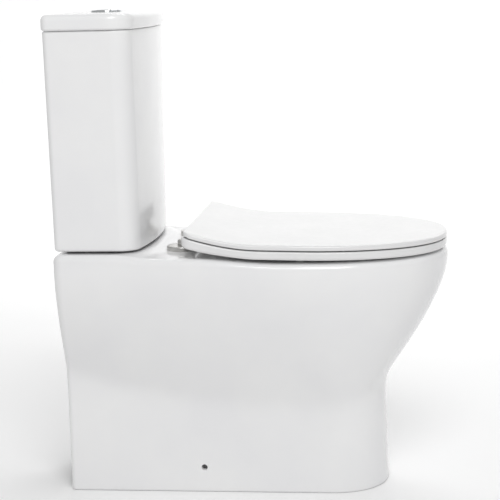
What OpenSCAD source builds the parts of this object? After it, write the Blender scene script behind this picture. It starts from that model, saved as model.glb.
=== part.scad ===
// Close coupled toilet: a skirted back-to-wall pan, a cistern bolted on top of it,
// a dual flush valve and a float valve inside the cistern, and a soft-close seat.
// +Z is up, the wall is at the +Y side and the user sits facing -Y. The origin is on
// the floor under the middle of the whole part. Millimetres.

/* [Overall] */
// Depth from the wall to the front of the rim
depth = 640; // [620:1:660]
// Height of the rim above the floor
rim_z = 404.5; // [400:0.5:410]
// Half of the widest part of the rim
rim_half = 180; // [176:1:184]
// Half of the width of the skirt at the floor
foot_half = 103; // [98:1:108]
// Wall thickness of the fired clay
wall = 11; // [10:0.5:12]

/* [Pan] */
// How far the seat deck stands above the rim
deck_rise = 7.5; // [6:0.5:9]
// How far the cistern platform stands above the seat deck
platform_rise = 6; // [4:0.5:8]
// Height where the bowl starts to swell out of the skirt at the sides
crease_z = 152; // [145:1:160]
// How much higher that line is at the front
crease_lift = 36; // [25:1:42]
// Height of the outlet's centre above the floor
outlet_z = 180; // [175:1:185]
// Outside radius of the outlet spigot
outlet_r = 51; // [50:0.5:52]
// Radius of the screw holes in the foot
foot_hole_r = 5; // [4:0.25:6]
// Height of the screw holes above the floor
foot_hole_z = 43; // [40:1:50]

/* [Cistern] */
// Underside of the cistern
tank_z = 422; // [421:0.5:424]
// Height of the cistern body
tank_h = 356; // [350:1:362]
// Half width at the bottom
tank_half_low = 157; // [152:1:160]
// Half width at the top
tank_half_top = 176; // [172:1:178]
// Thickness of the cistern wall
tank_wall = 9; // [8:0.5:10]
// Height of the ceramic cover
cover_h = 26; // [24:1:30]

/* [Seat] */
// Distance between the two seat hinges
hinge_gap = 155; // [150:1:160]
// Height of the hinge line
hinge_z = 440; // [439.5:0.25:440.5]
// Radius of the hinge pins
pin_r = 4; // [3.5:0.25:4.5]
// Play around a hinge pin
pin_play = 0.05; // [0.02:0.01:0.1]
// Thickness of the seat ring
ring_t = 13.5; // [12:0.5:14]
// Thickness of the seat cover
lid_t = 8.5; // [7:0.5:9]
// Open gap between ring and cover
seat_gap = 2; // [1.5:0.25:2.5]

/* [Flush] */
// Radius of the button opening in the cover
button_hole_r = 20.5; // [20:0.25:22]
// Travel of a flush button
button_travel = 6; // [4:0.5:7]
// Thickness of the gap between button and bezel
button_gap = 0.4; // [0.3:0.05:0.6]

/* [Hidden] */
back = depth / 2;
smooth = 64;
deck_z = rim_z + deck_rise;
platform_z = deck_z + platform_rise;
hinge_y = back - 219;
stud_y = back - 200;
hinge_x = hinge_gap / 2;
bolt_y = back - 72;
bolt_x = 85;
valve_x = 0;
fill_x = -112;
fill_y = back - 70;
tank_top = tank_z + tank_h;
cover_top = tank_top + cover_h;
valve_base = tank_z + 14;

// ---- outlines: closed lists of points, anticlockwise seen from above, front point first ----
FRONT = 15;
SIDE = 8;
CORNER = 4;
REAR = 5;

function mix(a, b, t) = a + (b - a) * t;
function clamp01(t) = min(1, max(0, t));
function ease(t) = let (c = clamp01(t)) c * c * (3 - 2 * c);

// The right half of an egg outline: a blunt front, long sides and a straight rear with corners.
// u counts millimetres forward from the wall.
function egg_half(w, wr, u_rear, u_wide, u_front, r, p) = concat(
    [for (i = [0 : FRONT]) let (a = 90 * i / FRONT)
        [w * pow(sin(a), 2 / p), u_wide + (u_front - u_wide) * pow(cos(a), 2 / p)]],
    [for (i = [1 : SIDE]) let (s = i / SIDE)
        [mix(w, wr, 1 - cos(90 * s)), mix(u_wide, u_rear + r, s)]],
    [for (i = [1 : CORNER]) let (a = 90 * i / CORNER)
        [wr - r + r * cos(a), u_rear + r - r * sin(a)]],
    [for (i = [1 : REAR]) [(wr - r) * (1 - i / REAR), u_rear]]);

// The right half of a tank outline: a bowed front, rounded corners and a straight rear.
function tank_half(w, u_rear, u_front, bow, rf, rr) = concat(
    [for (i = [0 : FRONT - 7]) let (s = i / (FRONT - 7))
        [(w - rf) * s, u_front - bow * s * s]],
    [for (i = [1 : 7]) let (a = 90 * i / 7)
        [w - rf + rf * sin(a), u_front - bow - rf + rf * cos(a)]],
    [for (i = [1 : SIDE]) [w, mix(u_front - bow - rf, u_rear + rr, i / SIDE)]],
    [for (i = [1 : CORNER]) let (a = 90 * i / CORNER)
        [w - rr + rr * cos(a), u_rear + rr - rr * sin(a)]],
    [for (i = [1 : REAR]) [(w - rr) * (1 - i / REAR), u_rear]]);

// Both halves, turned into x and y.
function closed(half) = let (n = len(half)) concat(
    [for (q = half) [q[0], back - q[1]]],
    [for (i = [n - 2 : -1 : 1]) [-half[i][0], back - half[i][1]]]);

function egg(w, wr, u_rear, u_wide, u_front, r, p = 2.2) =
    closed(egg_half(w, wr, u_rear, u_wide, u_front, r, p));
function tank(w, u_rear, u_front, bow, rf, rr) =
    closed(tank_half(w, u_rear, u_front, bow, rf, rr));
function flat(ring, z) = [for (q = ring) [q[0], q[1], z]];
function blend(a, b, t) = [for (i = [0 : len(a) - 1]) mix(a[i], b[i], t)];

// ---- lofts: rings of points joined into one skin ----
function strip(k, n) = [for (i = [0 : n - 1], half = [0, 1]) let (j = (i + 1) % n)
    half == 0 ? [k * n + i, (k + 1) * n + i, (k + 1) * n + j]
              : [k * n + i, (k + 1) * n + j, k * n + j]];

// A skin that starts at a low point and ends at a high point.
module shell(rings, first, last) {
    n = len(rings[0]);
    m = len(rings);
    points = concat([for (r = rings) each r], [first, last]);
    polyhedron(points, concat(
        [for (i = [0 : n - 1]) [n * m, i, (i + 1) % n]],
        [for (k = [0 : m - 2]) each strip(k, n)],
        [for (i = [0 : n - 1]) [n * m + 1, (m - 1) * n + (i + 1) % n, (m - 1) * n + i]]));
}

// A skin that closes on itself like a tyre.
module hoop(rings) {
    n = len(rings[0]);
    m = len(rings);
    polyhedron([for (r = rings) each r], concat(
        [for (k = [0 : m - 2]) each strip(k, n)],
        [for (i = [0 : n - 1], half = [0, 1]) let (j = (i + 1) % n, t = (m - 1) * n)
            half == 0 ? [t + i, i, j] : [t + i, j, t + j]]));
}

// ---- pan ----
// How much higher the crease under the bowl ends at the wall than at mid length.
rear_lift = 60;
// Radius of the rounding round the edge of the top face
rim_round = 12;
well_z = 382;
duct_z = 352;
trap_u = 330;
trap_z = 165;
bend = 55;
fall = 35;
fall_run = (trap_z + bend * cos(fall) - outlet_z) / sin(fall);
spigot_len = 50;

// Height of the top face: cistern platform, seat deck and rim, joined by soft steps.
function top_z(y) = let (u = back - y)
    rim_z + deck_rise * ease((372 - u) / 140) + platform_rise * ease((172 - u) / 18);

function rim_line(d) = egg(rim_half - d, 172 - d, d, 400, depth - d, max(16 - d, 3));
function foot_line(d, z) = let (t = clamp01(z / 165))
    egg(foot_half + t - d, foot_half - 1 + t - d, d, 440, mix(538, 532, t) - d, max(9 - d, 3));

// How far the skin has swollen from the skirt to the rim, from 0 to 1.
function swell(z, y) = let (
    front = clamp01((back - 440 - y) / 92),
    rear = clamp01((380 - back + y) / 380),
    start = crease_z + crease_lift * front * front + rear_lift * rear * rear,
    s = clamp01((z - start) / (388 - start)))
    1 - pow(1 - s, 1.5);

function skin(z, d) = let (a = foot_line(d, z), b = rim_line(d))
    [for (i = [0 : len(a) - 1]) let (q = mix(a[i], b[i], swell(z, a[i][1]))) [q[0], q[1], z]];

// The top face at a distance in from the edge, lowered by drop.
function rim_ring(d, drop) = [for (q = rim_line(d)) [q[0], q[1], top_z(q[1]) - drop]];

bowl_mouth = egg(132, 112, 272, 420, 594, 80, 2.1);
bowl_floor_z = 150;
deck_t = 18;
function bowl(z, d) = let (h = (rim_z - z) / (rim_z - bowl_floor_z), f = pow(clamp01(h), 1.6),
    a = egg(132 + d, 112 + d, 272 - d, 420, 594 + d, 80 + d, 2.1),
    b = egg(36 + d, 30 + d, 294 - d, 330, 366 + d, 30 + d, 2))
    [for (i = [0 : len(a) - 1]) let (q = mix(a[i], b[i], f)) [q[0], q[1], z]];

function top_ring(t) = let (a = rim_line(rim_round), b = bowl_mouth)
    [for (i = [0 : len(a) - 1]) let (q = mix(a[i], b[i], t)) [q[0], q[1], top_z(q[1])]];

// The underside of the deck, from the outside of the bowl to the inside of the skirt.
function under_ring(t) = let (a = bowl(381, wall + 4), b = rim_line(wall + 6))
    [for (i = [0 : len(b) - 1]) let (x = mix(a[i][0], b[i][0], t), y = mix(a[i][1], b[i][1], t))
        [x, y, top_z(y) - deck_t]];

module pan_shell() shell(concat(
    [for (z = [bowl_floor_z - wall, 175, 205, 240, 280, 325, 360]) bowl(z, wall)],
    [for (t = [0, 0.1, 0.3, 0.45, 0.7, 1]) under_ring(t)],
    [for (z = [375, 345, 310, 275, 240, 210, 185, 165, 145, 30]) skin(z, wall)],
    [flat(foot_line(wall, 0), 0)],
    [flat(foot_line(2, 0), 0)],
    [for (z = [3, 30, 90, 140, 155, 170, 190, 210, 235, 260, 290, 320, 350, 376, 390]) skin(z, 0)],
    [for (a = [0, 35, 60]) rim_ring(rim_round * (1 - cos(a)), rim_round * (1 - sin(a)))],
    [for (t = [0, 0.15, 0.35, 0.5, 0.62, 0.78, 0.92]) top_ring(t)],
    [[for (q = bowl_mouth) [q[0], q[1], top_z(q[1]) - 1.5]]],
    [for (z = [396, 375, 345, 310, 270, 230, 195, 170, bowl_floor_z]) bowl(z, -1)]),
    [0, back - 330, bowl_floor_z - wall], [0, back - 330, bowl_floor_z]);

// The centre line of the trap as [y, z, heading]: down out of the bowl, round the dip,
// up over the weir and down into the outlet.
function trap_line(top) = let (y0 = back - trap_u) concat(
    [[y0, trap_z + top, -90]],
    [for (a = [0 : 18 : 180]) [y0 + bend - bend * cos(a), trap_z - bend * sin(a), a - 90]],
    [for (a = [18, 36, 54, 72, 90, 108, 90 + fall])
        [y0 + 3 * bend - bend * cos(a), trap_z + bend * sin(a), 90 - a]],
    [[y0 + 3 * bend - bend * cos(90 + fall) + fall_run * cos(fall), outlet_z, -fall]]);

// A round tube swept along that line.
module swept(line, r, sides) shell([for (q = line)
    [for (k = [0 : sides - 1]) let (b = -360 * k / sides)
        [r * cos(b), q[0] - r * sin(b) * sin(q[2]), q[1] + r * sin(b) * cos(q[2])]]],
    [0, line[0][0], line[0][1]], [0, line[len(line) - 1][0], line[len(line) - 1][1]]);

// The trap and the straight outlet that ends in the spigot.
module trap_way(r, r_out, lead, grow) {
    swept(trap_line(14 + grow), r, 20);
    translate([0, back - 117 - lead, outlet_z]) rotate([-90, 0, 0])
        cylinder(r = r_out - 2, h = 47 + lead, $fn = smooth);
    translate([0, back - 22 - spigot_len, outlet_z]) rotate([-90, 0, 0])
        cylinder(r = r_out, h = spigot_len + grow, $fn = smooth);
}

// The duct that carries the flush from the well under the cistern into the bowl.
module flush_duct(r, r_drop, r_well, low, grow) {
    translate([0, bolt_y, well_z - low]) cylinder(r = r_well, h = 30 + low + grow, $fn = smooth);
    translate([0, bolt_y, duct_z - 31 - low])
        cylinder(r = r_drop, h = well_z - duct_z + 31 + grow, $fn = smooth);
    translate([0, bolt_y, duct_z]) rotate([90, 0, 0])
        cylinder(r = r, h = 196 + grow, $fn = smooth);
}

module pan() color("whitesmoke") difference() {
    union() {
        pan_shell();
        trap_way(46, outlet_r, 8, 0);
        flush_duct(36, 39, 54, 8, 0);
    }
    trap_way(38, outlet_r - 8, 0, 30);
    flush_duct(28, 31, 46, 0, 30);
    // the open back, through which the waste pipe and the water pipe pass
    translate([-76, back - wall - 3, -1]) cube([152, wall + 4, 331]);
    for (s = [-1, 1]) {
        translate([s * (foot_half + 8), back - 230, foot_hole_z]) rotate([0, -s * 90, 0])
            cylinder(r = foot_hole_r, h = 30, $fn = 32);
        translate([s * bolt_x, bolt_y, 370]) cylinder(r = 6, h = 80, $fn = 32);
        translate([s * hinge_x, stud_y, 370]) cylinder(r = 7, h = 80, $fn = 32);
        // the flat place on which a hinge plate stands
        translate([s * hinge_x, stud_y, deck_z]) cylinder(r = disc_r + 0.5, h = 20, $fn = smooth);
    }
    // clearance round the cistern's water inlet
    translate([fill_x, fill_y, 370]) cylinder(r = 21, h = 80, $fn = smooth);
}

// ---- cistern ----
tank_u = 151;
function tank_w(z) = mix(tank_half_low, tank_half_top, clamp01((z - tank_z) / tank_h));
function tank_ring(z, d) = flat(tank(tank_w(z) - d, 1 + d, tank_u - d, 9, max(34 - d, 8),
    max(10 - d, 4)), z);

module cistern() color("whitesmoke") difference() {
    shell(concat(
        [tank_ring(tank_z, 5)],
        [for (q = [[1, 2], [5, 0], [120, 0], [240, 0], [tank_h - 3, 0], [tank_h, 2]])
            tank_ring(tank_z + q[0], q[1])],
        [for (q = [[tank_h, tank_wall], [240, tank_wall], [120, tank_wall], [20, tank_wall],
            [14, tank_wall + 8]]) tank_ring(tank_z + q[0], q[1])]),
        [0, back - 75, tank_z], [0, back - 75, tank_z + 14]);
    translate([valve_x, bolt_y, tank_z - 1]) cylinder(r = 32.5, h = 16, $fn = smooth);
    for (s = [-1, 1]) translate([s * bolt_x, bolt_y, tank_z - 1]) cylinder(r = 5, h = 16, $fn = 32);
    translate([fill_x, fill_y, tank_z - 1]) cylinder(r = 11, h = 16, $fn = smooth);
}

// The cover sits on the rim of the tank and has a lip that drops inside it.
function cover_ring(z, d) = flat(tank(181 - d, d, tank_u + 4 - d, 9, max(40 - d, 8), max(12 - d, 4)), z);

rest = 0.3;
module cistern_cover() color("whitesmoke") difference() {
    shell([
        cover_ring(tank_top + 9, 22), cover_ring(tank_top - 6, 22), cover_ring(tank_top - 6, 16.5),
        cover_ring(tank_top + rest, 16), cover_ring(tank_top + rest, 4),
        cover_ring(tank_top + 1.4, 1.6), cover_ring(tank_top + 3, 0.5),
        cover_ring(tank_top + 5, 0), cover_ring(cover_top - 9, 0), cover_ring(cover_top - 4.5, 1.2),
        cover_ring(cover_top - 2.2, 3.6), cover_ring(cover_top - 0.7, 8),
        cover_ring(cover_top - 0.2, 16), cover_ring(cover_top, 45)],
        [0, back - 75, tank_top + 9], [0, back - 75, cover_top]);
    translate([valve_x, bolt_y, tank_top]) cylinder(r = button_hole_r, h = 40, $fn = smooth);
}

// Soft pads that carry the cistern on the pan's platform.
module cistern_pads() color("dimgray") for (s = [-1, 1], u = [16, 104])
    translate([s * 100 - 25, back - u - 14, platform_z]) cube([50, 14, tank_z - platform_z]);

// ---- push button set ----
bezel_top = cover_top + 3;
bezel_r = 26;
bore_r = 18;

rod_x = 8;
rod_r = 2.5;
spring_h = 27;
cap_t = 3;

// Rim, threaded sleeve and the floor that the two springs stand on.
module button_bezel() color("silver") difference() {
    rotate_extrude_at(valve_x, bolt_y, bezel_top) polygon([[bore_r, 0], [bezel_r - 2, 0],
        [bezel_r - 0.6, -0.6], [bezel_r, -2], [bezel_r, -3], [20, -3], [20, -42], [0, -42],
        [0, -spring_h - cap_t + 0.5], [bore_r, -spring_h - cap_t + 0.5]]);
    for (s = [-1, 1]) translate([valve_x + s * rod_x, bolt_y, bezel_top - 50])
        cylinder(r = rod_r + 0.4, h = 30, $fn = 32);
}

module rotate_extrude_at(x, y, z) translate([x, y, z]) rotate_extrude($fn = smooth) children();

module bezel_nut() color("gainsboro") translate([valve_x, bolt_y, tank_top + 3]) difference() {
    union() {
        cylinder(r = 27, h = 6, $fn = smooth);
        for (a = [0 : 60 : 300]) rotate([0, 0, a]) translate([25, -2.5, 0]) cube([5, 5, 6]);
    }
    translate([0, 0, -1]) cylinder(r = 20, h = 8, $fn = smooth);
}

// One part of the round button pair: a cap, a skirt and the rod that works the valve.
module flush_half(side, part_x) {
    r = bore_r - button_gap;
    translate([valve_x, bolt_y, bezel_top + 0.5 - 14.5]) intersection() {
        difference() {
            cylinder(r = r, h = 14.5, $fn = smooth);
            translate([0, 0, -1]) cylinder(r = r - 1.6, h = 12.5, $fn = smooth);
        }
        translate([side > 0 ? part_x : -50, -50, -5]) cube([side > 0 ? 50 : 50 + part_x, 100, 30]);
    }
    translate([valve_x + side * rod_x, bolt_y, valve_base + 185])
        cylinder(r = rod_r, h = bezel_top - 2 - valve_base - 185, $fn = 32);
}

module half_flush_button() color("silver") flush_half(-1, -5.3);
module full_flush_button() color("silver") flush_half(1, -4.7);

// A coil spring as a small tube that follows a helix.
module coil(r, wire, height, turns) {
    n = 10 * turns;
    m = 5;
    points = [for (i = [0 : n]) let (a = 36 * i, z = wire + (height - 2 * wire) * i / n)
        for (k = [0 : m - 1]) let (b = 72 * k)
            [(r + wire * cos(b)) * cos(a), (r + wire * cos(b)) * sin(a), z + wire * sin(b)]];
    polyhedron(points, concat(
        [[for (k = [0 : m - 1]) k]],
        [for (i = [0 : n - 1], k = [0 : m - 1], half = [0, 1]) let (l = (k + 1) % m, a = i * m)
            half == 0 ? [a + k, a + m + k, a + m + l] : [a + k, a + m + l, a + l]],
        [[for (k = [m - 1 : -1 : 0]) n * m + k]]));
}

spring_z = bezel_top + 0.5 - cap_t - spring_h;
module half_button_spring() color("gray")
    translate([valve_x - rod_x, bolt_y, spring_z]) coil(4, 0.5, spring_h, 6);
module full_button_spring() color("gray")
    translate([valve_x + rod_x, bolt_y, spring_z]) coil(4, 0.5, spring_h, 6);

// ---- flush valve ----

// Threaded tail through the tank floor, the seat, four cage legs and the guide tower.
module flush_valve_body() color("white") translate([valve_x, bolt_y, valve_base]) {
    difference() {
        union() {
            translate([0, 0, -44]) cylinder(r = 32, h = 47, $fn = smooth);
            translate([0, 0, 3]) cylinder(r = 42, h = 5, $fn = smooth);
        }
        translate([0, 0, -45]) cylinder(r = 28, h = 60, $fn = smooth);
    }
    for (a = [45 : 90 : 315]) rotate([0, 0, a]) translate([33, -3, 7]) cube([5, 6, 76]);
    translate([0, 0, 82]) difference() {
        cylinder(r = 39, h = 100, $fn = smooth);
        translate([0, 0, -1]) cylinder(r = 36, h = 98, $fn = smooth);
        translate([0, 0, 90]) cylinder(r = 17, h = 20, $fn = smooth);
    }
}

// The lifting overflow tube with its foot and the seal under it.
module flush_valve_tube() color("lightsteelblue")
    translate([valve_x, bolt_y, valve_base]) difference() {
        union() {
            translate([0, 0, 12]) cylinder(r = 31, h = 5, $fn = smooth);
            translate([0, 0, 12]) cylinder(r = 14, h = 170, $fn = smooth);
        }
        translate([0, 0, 4]) cylinder(r = 11.5, h = 190, $fn = smooth);
    }

module flush_valve_seal() color("firebrick") translate([valve_x, bolt_y, valve_base + 8])
    ring(32, 20, 4);

module flush_valve_gasket() color("dimgray") translate([valve_x, bolt_y, valve_base])
    ring(40, 32, 3);

module flush_valve_nut() color("gainsboro") translate([valve_x, bolt_y, tank_z - 10])
    difference() {
        cylinder(r = 42, h = 10, $fn = 8);
        translate([0, 0, -1]) cylinder(r = 32, h = 12, $fn = smooth);
    }

// A flat ring standing on z = 0.
module ring(r_out, r_in, h) difference() {
    cylinder(r = r_out, h = h, $fn = smooth);
    translate([0, 0, -1]) cylinder(r = r_in, h = h + 2, $fn = smooth);
}

// Foam doughnut round the flush valve's tail, pressed into the well of the pan.
module coupling_seal() color("dimgray") rotate_extrude_at(valve_x, bolt_y, well_z)
    polygon([[32, 0], [41, 0], [45.5, 6], [45.5, 24], [42, 29.5], [32, 29.5]]);

// ---- fill valve ----
shank_r = 10.8;

// Inlet tail and shank through the tank floor, riser, head with the pilot valve and float guide.
module fill_valve_body() color("white") translate([fill_x, fill_y, valve_base]) {
    difference() {
        union() {
            translate([0, 0, -54]) cylinder(r = 10.5, h = 31, $fn = smooth);
            translate([0, 0, -24]) cylinder(r = shank_r, h = 27, $fn = smooth);
            translate([0, 0, 3]) cylinder(r = 15, h = 4, $fn = smooth);
            translate([0, 0, 7]) cylinder(r = 9, h = 225, $fn = smooth);
            translate([0, 0, 232]) cylinder(r = 17, h = 22, $fn = smooth);
        }
        translate([0, 0, -55]) cylinder(r = 6, h = 290, $fn = smooth);
    }
    // the two ears that hold the lever's pin
    for (s = [-1, 1]) translate([8, s * 6 - 1.5, 252]) difference() {
        cube([16, 3, 14]);
        translate([8, -1, 8]) rotate([-90, 0, 0]) cylinder(r = 2, h = 5, $fn = 32);
    }
}

arm_x = fill_x + 16;
arm_z = valve_base + 260;
module fill_valve_pin() color("silver") translate([arm_x, fill_y - 9, arm_z])
    rotate([-90, 0, 0]) cylinder(r = 2, h = 18, $fn = 32);

// The lever that presses on the pilot valve and is lifted by the float.
module fill_valve_arm() color("white") difference() {
    union() {
        translate([arm_x, fill_y - 3.5, arm_z]) rotate([-90, 0, 0])
            cylinder(r = 5, h = 7, $fn = 32);
        translate([arm_x, fill_y - 3.5, arm_z - 2]) cube([38, 7, 4]);
        translate([arm_x + 33, fill_y - 3.5, arm_z - 8]) cube([5, 7, 8]);
    }
    translate([arm_x, fill_y - 5, arm_z]) rotate([-90, 0, 0])
        cylinder(r = 2 + pin_play, h = 10, $fn = 32);
}

// An upturned cup that slides on the riser and holds air.
module fill_valve_float() color("lightsteelblue") translate([fill_x, fill_y, valve_base + 150])
    difference() {
        union() {
            cylinder(r = 28, h = 62, $fn = smooth);
            translate([24, -4, 58]) cube([30, 8, 6]);
            translate([50, 0, 62]) cylinder(r = 2, h = 38, $fn = 32);
        }
        translate([0, 0, -1]) cylinder(r = 25.5, h = 60, $fn = smooth);
        translate([0, 0, -1]) cylinder(r = 9.4, h = 80, $fn = smooth);
    }

module fill_valve_nut() color("gainsboro") translate([fill_x, fill_y, tank_z - 8]) difference() {
    cylinder(r = 17, h = 8, $fn = 6);
    translate([0, 0, -1]) cylinder(r = shank_r, h = 10, $fn = smooth);
}

module fill_valve_washer() color("dimgray") translate([fill_x, fill_y, valve_base])
    ring(15, shank_r, 3);

// ---- bolts that hold the cistern on the pan ----
module coupling_bolts() color("goldenrod") for (s = [-1, 1])
    translate([s * bolt_x, bolt_y, 0]) {
        translate([0, 0, 372]) cylinder(r = 4, h = valve_base + 4 - 372, $fn = 32);
        translate([0, 0, valve_base + 4]) cylinder(r = 8, h = 4, $fn = 32);
    }

module coupling_bolt_washers() color("dimgray") for (s = [-1, 1])
    translate([s * bolt_x, bolt_y, valve_base]) ring(11, 4, 4);

module coupling_wing_nuts() color("goldenrod") for (s = [-1, 1])
    translate([s * bolt_x, bolt_y, platform_z - deck_t - 8]) difference() {
        union() {
            cylinder(r = 9, h = 8, $fn = 32);
            translate([-2, -17, 0]) cube([4, 34, 7]);
        }
        translate([0, 0, -1]) cylinder(r = 4, h = 10, $fn = 32);
    }

// ---- seat ----
// Upper face of the cover: nearly flat, sweeping up to the hinge line.
function sweep(u) = 27 * pow(clamp01((338 - u) / 130), 2) * (1 - 0.18 * clamp01((338 - u) / 130))
    + 5 * clamp01((430 - u) / 230);
function lid_z(y) = let (u = back - y) 434 - 3 * clamp01((u - 430) / 200) + sweep(u);
function ring_top_z(y) = lid_z(y) - lid_t - seat_gap;
function ring_low_z(y) = let (u = back - y)
    ring_top_z(y) - ring_t - 3 * ease((300 - u) / 90);

knuckle_r = 10;
barrel_r = 7;
lug_r = 6.5;
ring_u = 213;
cover_u = 216;

function seat_line(d, u_rear, r = 14) =
    egg(184 - d, 182 - d, u_rear + d, 395, depth - 2 - d, max(r - d, 5), 2.25);
function seat_hole(d) = egg(112 - d, 92 - d, 268 + d, 410, 566 - d, 70 - d, 2.1);

module seat_ring() color("white") difference() {
    hoop([
        [for (q = seat_hole(0)) [q[0], q[1], ring_low_z(q[1]) + 4]],
        [for (q = seat_hole(-4)) [q[0], q[1], ring_low_z(q[1])]],
        [for (q = seat_line(4, ring_u)) [q[0], q[1], ring_low_z(q[1])]],
        [for (q = seat_line(0.8, ring_u)) [q[0], q[1], ring_low_z(q[1]) + 2.5]],
        [for (q = seat_line(0, ring_u)) [q[0], q[1], ring_low_z(q[1]) + 6]],
        [for (q = seat_line(0.5, ring_u)) [q[0], q[1], ring_top_z(q[1]) - 2.5]],
        [for (q = seat_line(3, ring_u)) [q[0], q[1], ring_top_z(q[1])]],
        [for (q = blend(seat_line(3, ring_u), seat_hole(-12), 0.5)) [q[0], q[1], ring_top_z(q[1])]],
        [for (q = seat_hole(-12)) [q[0], q[1], ring_top_z(q[1])]],
        [for (q = seat_hole(-3)) [q[0], q[1], ring_top_z(q[1]) - 3]]]);
    for (s = [-1, 1]) {
        translate([s * hinge_x - 30, hinge_y - 24, 400]) cube([60, 60, 80]);
        translate([s * hinge_x - 46, hinge_y, hinge_z]) rotate([0, 90, 0])
            cylinder(r = pin_r + pin_play, h = 92, $fn = 32);
    }
}

// Small soft feet: four under the ring and two under the cover. Each stops just short of the
// sloping faces so that only its edge touches.
slope_play = 0.16;
module buffer(x, y, z_low, h) translate([x, y, z_low]) cylinder(r = 7, h = h, $fn = 32);

module ring_buffers() color("white") for (s = [-1, 1], q = [[150, 402], [138, 500]])
    let (y = back - q[1])
        buffer(s * q[0], y, rim_z + slope_play, ring_low_z(y) - rim_z - 2 * slope_play);

module cover_buffers() color("white") for (s = [-1, 1]) let (y = back - 480)
    buffer(s * 138, y, ring_top_z(y) + slope_play, seat_gap - 2 * slope_play);

module seat_cover() color("white") difference() {
    union() {
        difference() {
            cover_plate();
            // the hollow in which the ring's rear edge turns
            translate([-190, hinge_y, hinge_z]) rotate([0, 90, 0])
                cylinder(r = knuckle_r, h = 380, $fn = smooth);
        }
        for (s = [-1, 1], e = [-16.5, 16.5]) translate([s * hinge_x + e - 5, hinge_y, 0]) {
            translate([0, 0, hinge_z]) rotate([0, 90, 0])
                cylinder(r = lug_r, h = 10, $fn = smooth);
            translate([0, -6.4, hinge_z]) cube([10, 9, 13]);
        }
    }
    for (s = [-1, 1]) translate([s * hinge_x - 46, hinge_y, hinge_z]) rotate([0, 90, 0])
        cylinder(r = pin_r + pin_play, h = 92, $fn = 32);
}

module cover_plate() shell([
    [for (q = blend(seat_line(4, cover_u), seat_mid, 0.75)) [q[0], q[1], lid_z(q[1]) - lid_t]],
    [for (q = blend(seat_line(4, cover_u), seat_mid, 0.5)) [q[0], q[1], lid_z(q[1]) - lid_t]],
    [for (q = blend(seat_line(4, cover_u), seat_mid, 0.25)) [q[0], q[1], lid_z(q[1]) - lid_t]],
    [for (q = seat_line(3, cover_u)) [q[0], q[1], lid_z(q[1]) - lid_t]],
    [for (q = seat_line(0.5, cover_u)) [q[0], q[1], lid_z(q[1]) - lid_t + 2]],
    [for (q = seat_line(0, cover_u)) [q[0], q[1], lid_z(q[1]) - lid_t / 2]],
    [for (q = seat_line(0.8, cover_u)) [q[0], q[1], lid_z(q[1]) - 1.8]],
    [for (q = seat_line(3.5, cover_u)) [q[0], q[1], lid_z(q[1])]],
    [for (q = blend(seat_line(4, cover_u), seat_mid, 0.25)) [q[0], q[1], lid_z(q[1])]],
    [for (q = blend(seat_line(4, cover_u), seat_mid, 0.5)) [q[0], q[1], lid_z(q[1])]],
    [for (q = blend(seat_line(4, cover_u), seat_mid, 0.75)) [q[0], q[1], lid_z(q[1])]]],
    [0, back - 400, lid_z(back - 400) - lid_t], [0, back - 400, lid_z(back - 400)]);
seat_mid = [for (q = seat_line(4, cover_u)) [0, back - 400]];

// ---- seat hinges ----
disc_h = 8;
disc_r = 25.5;
neck_z = deck_z + 9;
neck_h = 8.5;
cone_z = deck_z - deck_t - 1.6;
module hinge_discs() color("silver") for (s = [-1, 1])
    rotate_extrude_at(s * hinge_x, stud_y, deck_z) polygon([[7.2, 0], [disc_r, 0],
        [disc_r, disc_h - 1.5], [disc_r - 1.5, disc_h], [7.2, disc_h]]);

// A shank on the stud, and a neck that carries the barrel forward of it.
module hinge_posts() color("silver") for (s = [-1, 1]) translate([s * hinge_x, 0, 0])
    difference() {
        union() {
            translate([0, stud_y, deck_z + 1]) cylinder(r = 7.1, h = 11, $fn = smooth);
            translate([-6, hinge_y, neck_z]) cube([12, stud_y + 6.5 - hinge_y, neck_h]);
            translate([-6, hinge_y, neck_z + 2]) cube([12, 5.5, hinge_z - neck_z - 4]);
            translate([-10, hinge_y, hinge_z]) rotate([0, 90, 0])
                cylinder(r = barrel_r, h = 20, $fn = smooth);
        }
        translate([-11, hinge_y, hinge_z]) rotate([0, 90, 0])
            cylinder(r = pin_r, h = 22, $fn = 32);
        translate([0, stud_y, deck_z]) cylinder(r = 3, h = 14, $fn = 32);
    }

module hinge_pins() color("darkgray") for (s = [-1, 1])
    translate([s * hinge_x - 44, hinge_y, hinge_z]) rotate([0, 90, 0])
        cylinder(r = pin_r, h = 88, $fn = 32);

module hinge_studs() color("silver") for (s = [-1, 1]) translate([s * hinge_x, stud_y, 346])
    cylinder(r = 3, h = deck_z + 14 - 346, $fn = 32);

module hinge_stud_cones() color("dimgray") for (s = [-1, 1])
    rotate_extrude_at(s * hinge_x, stud_y, cone_z) polygon([[3, -10], [13, -10], [13, 0],
        [6.8, 0], [6.8, 9], [3, 9]]);

module hinge_stud_nuts() color("white") for (s = [-1, 1])
    translate([s * hinge_x, stud_y, cone_z - 24]) difference() {
        union() {
            cylinder(r = 10, h = 14, $fn = 32);
            for (a = [0, 90]) rotate([0, 0, a]) translate([-15, -1.5, 0]) cube([30, 3, 10]);
        }
        translate([0, 0, -1]) cylinder(r = 3, h = 16, $fn = 32);
    }

pan();
cistern();
cistern_cover();
button_bezel();
bezel_nut();
half_flush_button();
full_flush_button();
half_button_spring();
full_button_spring();
flush_valve_body();
flush_valve_tube();
flush_valve_seal();
flush_valve_nut();
flush_valve_gasket();
fill_valve_body();
fill_valve_arm();
fill_valve_float();
fill_valve_pin();
fill_valve_nut();
fill_valve_washer();
coupling_seal();
coupling_bolts();
coupling_bolt_washers();
coupling_wing_nuts();
cistern_pads();
seat_ring();
ring_buffers();
seat_cover();
cover_buffers();
hinge_discs();
hinge_posts();
hinge_pins();
hinge_studs();
hinge_stud_cones();
hinge_stud_nuts();
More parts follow.
